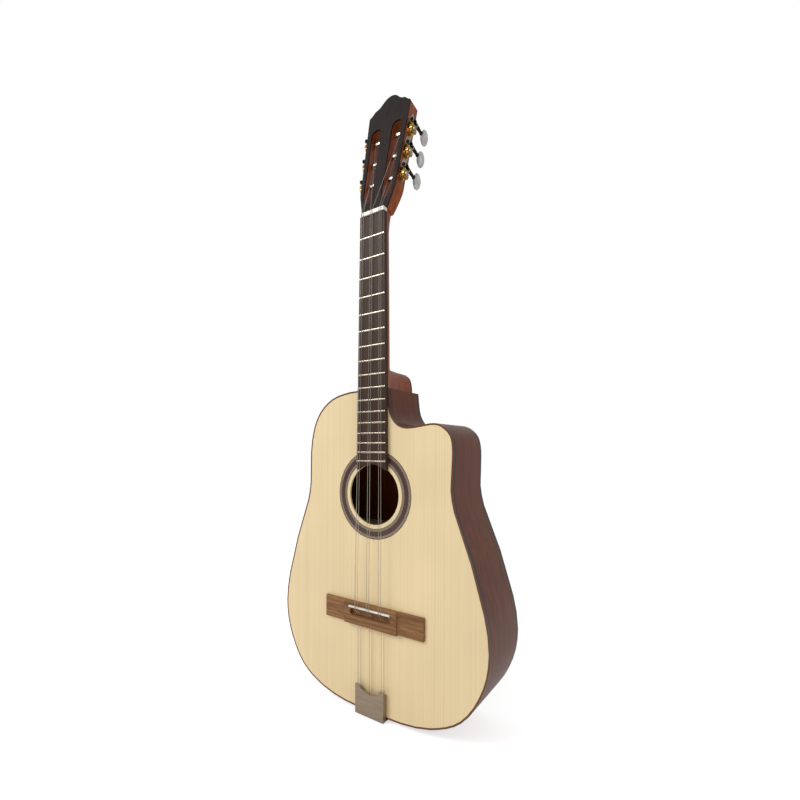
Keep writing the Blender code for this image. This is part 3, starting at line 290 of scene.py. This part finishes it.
print("woods:", *(made.name for made in woods), sep=", ")

# %% [markdown]
# Smooth finishes
#
# Plastics, bone and metals have no grain, but none of them is one flat colour. A soft noise moves the colour
# and the roughness together, which is cheap and holds at any distance. Stretched along one axis, the same
# noise gives the strokes of a brushed metal.

# %% The smooth finish function
CLOUD_RANGE = (0.35, 0.65)
ROUGHER, SMOOTHER = 1.25, 0.8


def smooth_finish(name, colour, other, scale, roughness, coat=0.0, metallic=0.0, stretch=(1, 1, 1)):
    """A finish that drifts between two colours, over noise of that scale."""
    made, tree, shader = new_material(name)
    place = add(tree, "ShaderNodeTexCoord")
    spread = add(tree, "ShaderNodeMapping", Scale=stretch)
    tree.links.new(place.outputs["Object"], spread.inputs["Vector"])
    cloud = add(tree, "ShaderNodeTexNoise", Scale=scale, Detail=4.0)
    tree.links.new(spread.outputs["Vector"], cloud.inputs["Vector"])
    blend = mixed(tree, ranged(tree, cloud.outputs["Fac"], CLOUD_RANGE), colour, other)
    tree.links.new(blend, shader.inputs["Base Color"])
    rough = ranged(tree, cloud.outputs["Fac"], end=(roughness * SMOOTHER, roughness * ROUGHER))
    tree.links.new(rough, shader.inputs["Roughness"])
    shader.inputs["Metallic"].default_value = metallic
    shader.inputs["Coat Weight"].default_value = coat
    return made


print("roughness moves between", SMOOTHER, "and", ROUGHER, "times its value")

# %% [markdown]
# Plastics, bone and pearl
#
# The binding is black celluloid under lacquer, the nut and saddle are polished bone, and the buttons are
# cast pearloid. The binding's front is a thin reddish line, while its edge on the sides is black. A second
# strip could make that line, but it is just one face of this one, so the colour follows a point's depth.

# %% The plastics and bone
FRONT_DEPTH = 0.0001
BINDING_RED = (112, 62, 38)


def redden_front(made):
    """Gives a finish a reddish colour wherever it lies in the plane of the soundboard."""
    tree = made.node_tree
    shader = tree.nodes["Principled BSDF"]
    plain = shader.inputs["Base Color"].links[0].from_socket
    place = add(tree, "ShaderNodeTexCoord")
    parts = add(tree, "ShaderNodeSeparateXYZ")
    tree.links.new(place.outputs["Object"], parts.inputs["Vector"])
    in_front = reckoned(tree, "LESS_THAN", parts.outputs["Y"], FRONT_DEPTH)
    tree.links.new(mixed(tree, in_front, plain, BINDING_RED), shader.inputs["Base Color"])
    shader.inputs["Specular IOR Level"].default_value = 0.3


binding = smooth_finish("black binding", (34, 24, 22), (46, 30, 26), 120.0, 0.22, coat=0.6)
redden_front(binding)
bone = smooth_finish("polished bone", (238, 234, 222), (226, 218, 198), 260.0, 0.3, coat=0.3)
pearl = smooth_finish("pearloid", (222, 220, 216), (182, 180, 178), 190.0, 0.2, coat=0.6,
                      stretch=(1, 1, 0.5))
print("plastics and bone:", binding.name, bone.name, pearl.name, sep=", ")

# %% [markdown]
# Metals
#
# The tailpiece is brushed and satin plated, warm and dull. The tuner plates are bright nickel, the gears
# are brass, the worms and their posts blackened, and the strings plain drawn steel. Each is the smooth
# finish with its shader set to metal. A brushed or drawn metal gets its noise stretched along the strokes,
# and a polished one has only faint clouds in its roughness.

# %% The metal finishes
satin_nickel = smooth_finish("satin plated sheet", (176, 162, 146), (164, 149, 133), 900.0, 0.42,
                             metallic=1.0, stretch=(0.05, 1, 1))
nickel = smooth_finish("bright nickel", (206, 196, 178), (186, 174, 152), 300.0, 0.2, metallic=1.0)
brass = smooth_finish("brass", (218, 178, 98), (196, 152, 74), 300.0, 0.25, metallic=1.0)
steel = smooth_finish("turned steel", (196, 193, 186), (176, 172, 164), 700.0, 0.28, metallic=1.0,
                      stretch=(1, 1, 0.1))
black_steel = smooth_finish("blackened steel", (48, 42, 38), (32, 28, 26), 400.0, 0.32, metallic=0.9)
string_metal = smooth_finish("drawn string", (206, 200, 188), (182, 172, 156), 800.0, 0.3, metallic=1.0,
                             stretch=(1, 1, 0.05))
print("metals:", satin_nickel.name, nickel.name, brass.name, steel.name, sep=", ")

# %% [markdown]
# The rosette, ring by ring
#
# The rosette is an inlay round the soundhole: a band of light and dark checks, a broad dark red band and a
# second checked band, with thin black lines between them. As solids the checks would be hundreds of tiny
# pieces. A ring is a distance from the hole's centre and a check is also an angle round it, so both come
# from Object coordinates, moved to that centre.

# %% Where a point lies round the hole
rosette_low, rosette_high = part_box("rosette")
hole_centre = (rosette_low + rosette_high) / 2
ring_outer = (rosette_high[0] - rosette_low[0]) / 2


def round_the_hole(tree):
    """A point's distance from the middle of the hole, and its angle round it."""
    place = add(tree, "ShaderNodeTexCoord")
    shift = add(tree, "ShaderNodeVectorMath", operation="SUBTRACT")
    shift.inputs[1].default_value = (0.0, 0.0, hole_centre[2])
    tree.links.new(place.outputs["Object"], shift.inputs[0])
    flat = add(tree, "ShaderNodeVectorMath", operation="MULTIPLY")
    flat.inputs[1].default_value = (1, 0, 1)
    tree.links.new(shift.outputs["Vector"], flat.inputs[0])
    radius = add(tree, "ShaderNodeVectorMath", operation="LENGTH")
    tree.links.new(flat.outputs["Vector"], radius.inputs[0])
    parts = add(tree, "ShaderNodeSeparateXYZ")
    tree.links.new(shift.outputs["Vector"], parts.inputs[0])
    angle = reckoned(tree, "ARCTAN2", parts.outputs["X"], parts.outputs["Z"])
    return radius.outputs["Value"], angle


print("rosette radius in mm:", round(ring_outer * 1000, 1))

# %% [markdown]
# Checks and rings
#
# The rings are steps of a colour ramp: 0 stands for checks, a half for the red band and 1 for a black line.

# %% Checks and rings
CHECKS_ROUND = 150
CHECK_WIDTH = 0.0017
CHECK_EDGE = (-0.15, 0.15)
INLAY_WIDTH = 0.0153
CHECKS, RED, LINE = 0, 0.5, 1
CODE_GAP = 0.1  # how near a value must come to a code to count as it
RINGS = (
    (0.0, CHECKS), (0.03, LINE), (0.05, CHECKS), (0.28, LINE),
    (0.31, RED), (0.69, LINE), (0.72, CHECKS), (0.95, LINE),
)


def check_mask(tree, radius, angle):
    """1 on the light checks and 0 on the dark ones."""
    wave_round = reckoned(tree, "SINE", reckoned(tree, "MULTIPLY", angle, CHECKS_ROUND / 2))
    wave_out = reckoned(tree, "SINE", reckoned(tree, "MULTIPLY", radius, 2 * pi / CHECK_WIDTH))
    return ranged(tree, reckoned(tree, "MULTIPLY", wave_round, wave_out), CHECK_EDGE)


def ring_code(tree, radius):
    """What lies at each distance from the hole: CHECKS, RED or LINE."""
    ramp = add(tree, "ShaderNodeValToRGB")
    ramp.color_ramp.interpolation = "CONSTANT"
    steps = ramp.color_ramp.elements
    for step, (start, code) in zip(steps, RINGS):
        step.position = start
        step.color = (code, code, code, 1)
    for start, code in RINGS[len(steps):]:
        steps.new(start).color = (code, code, code, 1)
    tree.links.new(ranged(tree, radius, (ring_outer - INLAY_WIDTH, ring_outer)), ramp.inputs["Fac"])
    return ramp.outputs["Color"]


print("rings:", len(RINGS), "checks round:", CHECKS_ROUND)

# %% [markdown]
# Lay the rings over the checks
#
# The real inlay is glued up in layers. The finish does the same with colours: first checks everywhere, then
# the red band over them, and the black lines last. A thin coat stands for the lacquer over all of it.

# %% The rosette's finish
DARK_CHECK, LIGHT_CHECK = (70, 50, 44), (176, 156, 130)
RED_BAND, BLACK_LINE = (74, 40, 32), (30, 20, 18)


def rosette_finish():
    """Checks, with the red band and then the black lines laid over them."""
    made, tree, shader = new_material("inlaid rosette")
    radius, angle = round_the_hole(tree)
    ring = ring_code(tree, radius)
    checked = mixed(tree, check_mask(tree, radius, angle), DARK_CHECK, LIGHT_CHECK)
    banded = mixed(tree, reckoned(tree, "COMPARE", ring, RED, CODE_GAP), checked, RED_BAND)
    lined = mixed(tree, reckoned(tree, "GREATER_THAN", ring, LINE - CODE_GAP), banded, BLACK_LINE)
    tree.links.new(lined, shader.inputs["Base Color"])
    shader.inputs["Roughness"].default_value = 0.35
    shader.inputs["Coat Weight"].default_value = 0.35
    return made


rosette = rosette_finish()
print("rosette nodes:", len(rosette.node_tree.nodes))

# %% [markdown]
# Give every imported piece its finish
#
# The record names a material slot for each node, and the finishes above follow those names. There is one
# exception: the headplate and the heel cap are darker than the fingerboard, and share a wood of their own.

# %% Assign the finishes
finishes = {
    "spruce": spruce, "raw_spruce": bare_spruce, "rosette": rosette, "mahogany": mahogany,
    "dark_mahogany": dark_mahogany, "binding": binding, "dark_wood": ebony, "bone": bone,
    "walnut": walnut, "satin_nickel": satin_nickel, "nickel": nickel, "brass": brass, "steel": steel,
    "blackened_steel": black_steel, "pearl": pearl, "string_steel": string_metal,
}
slot_of = {part["node"]: part["material_slot"] for part in frame["record"]["subparts"]}
bodies = frame["record"]["behaviour"]["bodies"]
body_of_node = {name: body for body, names in bodies.items() for name in names}
for name, piece in nodes.items():
    made = finishes[slot_of[name]]
    if name in ("headplate", "heel_cap"):
        made = headplate_wood
    piece.data.materials.clear()
    piece.data.materials.append(made)
print("finishes used:", len(set(slot_of.values())))

# %% [markdown]
# Round what is round
#
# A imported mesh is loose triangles, so bent ribs, shafts and buttons would show their facets. Its own mesh
# stays as it is. A copy with its doubles merged can be shaded smooth wherever neighbouring faces meet at a
# small angle, and keeps its sharp edges. The importer's stored normals belong to the loose triangles, so the
# copy drops them. Flat pieces need no copy.

# %% Smooth copies
FLAT_PIECES = ("saddle", "nut", "rosette", "soundboard", "headplate", "bridge", "tailpiece")
SMOOTH_ANGLE = radians(34)
SAME_POINT = 0.000002
STALE = ("custom_normal", "sharp_face", "sharp_edge")


def piece_from(shape, name):
    """Writes a bmesh into a new object of the scene, and frees it."""
    data = bpy.data.meshes.new(name)
    shape.to_mesh(data)
    shape.free()
    made = bpy.data.objects.new(name, data)
    bpy.context.scene.collection.objects.link(made)
    return made


def smooth_below(data, angle):
    """Smooth shading, with an edge where faces meet at more than the angle."""
    data.shade_smooth()
    data.set_sharp_from_angle(angle=angle)


copied = 0
for name, piece in list(nodes.items()):
    if name in FLAT_PIECES or "brace" in name:
        continue
    rounded = bmesh.new()
    rounded.from_mesh(piece.data)
    bmesh.ops.remove_doubles(rounded, verts=rounded.verts, dist=SAME_POINT)
    shown = piece_from(rounded, name + "_round")
    for stale in STALE:
        if stale in shown.data.attributes:
            shown.data.attributes.remove(shown.data.attributes[stale])
    smooth_below(shown.data, SMOOTH_ANGLE)
    shown.data.materials.append(piece.data.materials[0])
    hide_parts(name)
    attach(shown, body_of_node[name])
    copied += 1
print("smooth copies:", copied)

# %% [markdown]
# Fret wire
#
# On the real instrument each fret is a drawn nickel bar whose crown stands about a millimetre over the wood.
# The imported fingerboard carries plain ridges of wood. A bar over each ridge, with its two long upper edges
# bevelled to a round crown, makes it metal. The places follow the rule of equal temperament: each fret
# divides the length of string that is left by the twelfth root of two.

# %% Bars over the ridges
SCALE_LENGTH = 0.560
FRETS = 17
NUT_HALF = 0.0215
BOARD_TAPER = 0.0124  # how much wider half the board gets for each metre from the nut
END_GAP = 0.0002
WIRE_WIDTH = 0.0026
WIRE_HEIGHT = 0.0011
WIRE_ROUND = 0.0009
WIRE_ANGLE = radians(40)
CROWN_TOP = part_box("fingerboard")[0][1] - 0.00005
CROWN_MIDDLE = CROWN_TOP + WIRE_HEIGHT / 2


def add_fret(wire, place):
    """A bar across the board at that distance from the nut, with a round crown."""
    half = NUT_HALF + BOARD_TAPER * place - END_GAP
    bar = bmesh.ops.create_cube(wire, size=1.0)["verts"]
    size = Matrix.Diagonal((2 * half, WIRE_HEIGHT, WIRE_WIDTH, 1))
    middle = Matrix.Translation((0, CROWN_MIDDLE, -place))
    bmesh.ops.transform(wire, matrix=middle @ size, verts=bar)
    edges = dict.fromkeys(edge for vert in bar for edge in vert.link_edges)  # each once, in a fixed order
    crown = [edge for edge in edges if all(vert.co.y < CROWN_MIDDLE for vert in edge.verts)]
    long_edges = [edge for edge in crown if abs(edge.verts[0].co.x - edge.verts[1].co.x) > half]
    bmesh.ops.bevel(wire, geom=long_edges, offset=WIRE_ROUND, segments=3, profile=0.5, affect="EDGES",
                    material=-1)


wire = bmesh.new()
for number in range(1, FRETS + 1):
    add_fret(wire, SCALE_LENGTH * (1 - 2 ** (-number / 12)))
frets = piece_from(wire, "fret_wire")
smooth_below(frets.data, WIRE_ANGLE)
frets.data.materials.append(nickel)
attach(frets, "instrument")
print("fret bars:", FRETS)

# %% [markdown]
# A plain paper label
#
# A maker glues a paper label to the back, inside the body under the soundhole. Here it is left blank. Paper
# this thin could be one sheet of faces, but that has no edge to catch the light, so it is a grid with a
# small extrusion. Its points follow the arch of the back, about a millimetre above the wood.

# %% The label
LABEL = (0.060, 0.042)
LABEL_PLACE = (0.020, -0.398)
PAPER_THICKNESS = 0.0002
PAPER_GAP = 0.0010
BACK_THICKNESS = 0.0028
BODY_TOP, BODY_END = 0.2475, 0.7115
DEPTH_AT_NECK, DEPTH_AT_TAIL = 0.080, 0.101


def back_depth(z):
    """The depth of the back's outer face at a height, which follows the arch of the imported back."""
    share = (-z - BODY_TOP) / (BODY_END - BODY_TOP)
    return DEPTH_AT_NECK + (DEPTH_AT_TAIL - DEPTH_AT_NECK) * sin(pi / 2 * share)


paper = bmesh.new()
bmesh.ops.create_grid(paper, x_segments=6, y_segments=4, size=0.5)
lay = Matrix.Rotation(pi / 2, 4, "X") @ Matrix.Diagonal((*LABEL, 1, 1))
bmesh.ops.transform(paper, matrix=lay, verts=paper.verts)
sheet = bmesh.ops.extrude_face_region(paper, geom=paper.faces[:])["geom"]
lifted = [part for part in sheet if isinstance(part, bmesh.types.BMVert)]
bmesh.ops.translate(paper, vec=(0, PAPER_THICKNESS, 0), verts=lifted)
for vert in paper.verts:
    z = vert.co.z + LABEL_PLACE[1]
    y = vert.co.y + back_depth(z) - BACK_THICKNESS - PAPER_GAP
    vert.co = (vert.co.x + LABEL_PLACE[0], y, z)
bmesh.ops.recalc_face_normals(paper, faces=paper.faces)
label = piece_from(paper, "label")
label.data.materials.append(smooth_finish("label paper", (232, 230, 226), (222, 219, 212), 300.0, 0.8))
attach(label, "instrument")
print("label in mm:", *(round(side * 1000) for side in LABEL))

# %% [markdown]
# The floor
#
# The photograph has the instrument upright on white, with a soft shadow at its foot. A floor that is white
# by its colour alone would need more light than the instrument can take. So its colour is pale, and a glow
# that only the camera sees lifts it to white and leaves the shadow under it.

# %% A pale floor
FLOOR_HALF = 6.0
FLOOR_GAP = 0.0002
FLOOR_GLOW = 0.63

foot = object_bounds()[0][2]
ground = bmesh.new()
bmesh.ops.create_grid(ground, x_segments=1, y_segments=1, size=FLOOR_HALF)
bmesh.ops.transform(ground, matrix=Matrix.Translation((0, 0, foot - FLOOR_GAP)), verts=ground.verts)
floor = piece_from(ground, "floor")
floor_finish, floor_tree, floor_shader = new_material("floor")
floor_shader.inputs["Base Color"].default_value = (0.9, 0.9, 0.9, 1)
floor_shader.inputs["Roughness"].default_value = 0.9
floor_shader.inputs["Emission Color"].default_value = (1, 1, 1, 1)
floor_path = add(floor_tree, "ShaderNodeLightPath")
glow = reckoned(floor_tree, "MULTIPLY", floor_path.outputs["Is Camera Ray"], FLOOR_GLOW)
floor_tree.links.new(glow, floor_shader.inputs["Emission Strength"])
floor.data.materials.append(floor_finish)
print("floor at:", round(foot, 4))

# %% [markdown]
# World and lamps
#
# Plain studio light comes from all round, with a little more from the front left. The world is white where
# the camera looks, also through something clear. Where it lights the instrument or is mirrored in it, it is
# dimmer, so that pale spruce keeps its colour. A wide key lamp lights the soundboard from the side, and a
# weaker fill lamp lifts the ribs.

# %% The world
ROOM_LIGHT = 0.42
ROOM_WHITE = 1.0

world = bpy.data.worlds.new("studio")
bpy.context.scene.world = world
world.use_nodes = True
sky_tree = world.node_tree
sky = sky_tree.nodes["Background"]
path = add(sky_tree, "ShaderNodeLightPath")
seen = reckoned(sky_tree, "MAXIMUM", path.outputs["Is Camera Ray"], path.outputs["Is Transmission Ray"])
sky_tree.links.new(ranged(sky_tree, seen, end=(ROOM_LIGHT, ROOM_WHITE)), sky.inputs["Strength"])
sky.inputs["Color"].default_value = (1, 1, 1, 1)
print("room light:", ROOM_LIGHT)

# %% The lamps
AIM = (0, 0, -0.35)


def lamp(name, place, size, power):
    """A rectangular lamp that looks at the upper part of the body."""
    data = bpy.data.lights.new(name, "AREA")
    data.shape = "RECTANGLE"
    data.size, data.size_y = size
    data.energy = power
    made = bpy.data.objects.new(name, data)
    bpy.context.scene.collection.objects.link(made)
    made.location = place
    aim = Vector(AIM) - Vector(place)
    made.rotation_euler = aim.to_track_quat("-Z", "Y").to_euler()
    return made


key_lamp = lamp("key", place=(-1.0, -1.7, 0.9), size=(1.0, 1.0), power=25)
fill_lamp = lamp("fill", place=(1.9, -0.7, 0.5), size=(0.8, 1.6), power=8)
print("lamps:", key_lamp.name, fill_lamp.name)

# %% [markdown]
# The camera
#
# The camera stands close, a little above the soundhole's height and to the treble side. Its place and turn
# were found by matching the ladder of frets, whose real spacing is known. Upright edges stay parallel and
# the horizon is below the middle of the frame, so the lens is shifted and the camera itself is not tilted.

# %% The camera's place and lens
CAMERA_PLACE = (0.38281, -0.50077, -0.33406)
CAMERA_YAW = 0.592915
CAMERA_ROLL = 0.0048445
FOCAL_PX = 440.0
FRAME_PX = 800.0
HORIZON_PX = 449.869
SENSOR_MM = 36.0

camera_data = bpy.data.cameras.new("camera")
camera_data.sensor_width = SENSOR_MM
camera_data.lens = SENSOR_MM * FOCAL_PX / FRAME_PX
camera_data.shift_y = (HORIZON_PX - FRAME_PX / 2) / FRAME_PX
camera_data.clip_start = 0.01
camera = bpy.data.objects.new("camera", camera_data)
bpy.context.scene.collection.objects.link(camera)
level = Matrix.Rotation(CAMERA_YAW, 4, "Z") @ Matrix.Rotation(pi / 2, 4, "X")
camera.matrix_world = Matrix.Translation(CAMERA_PLACE) @ level @ Matrix.Rotation(CAMERA_ROLL, 4, "Z")
bpy.context.scene.camera = camera
bpy.context.scene.view_settings.view_transform = "Standard"
print("lens in mm:", round(camera_data.lens, 2))
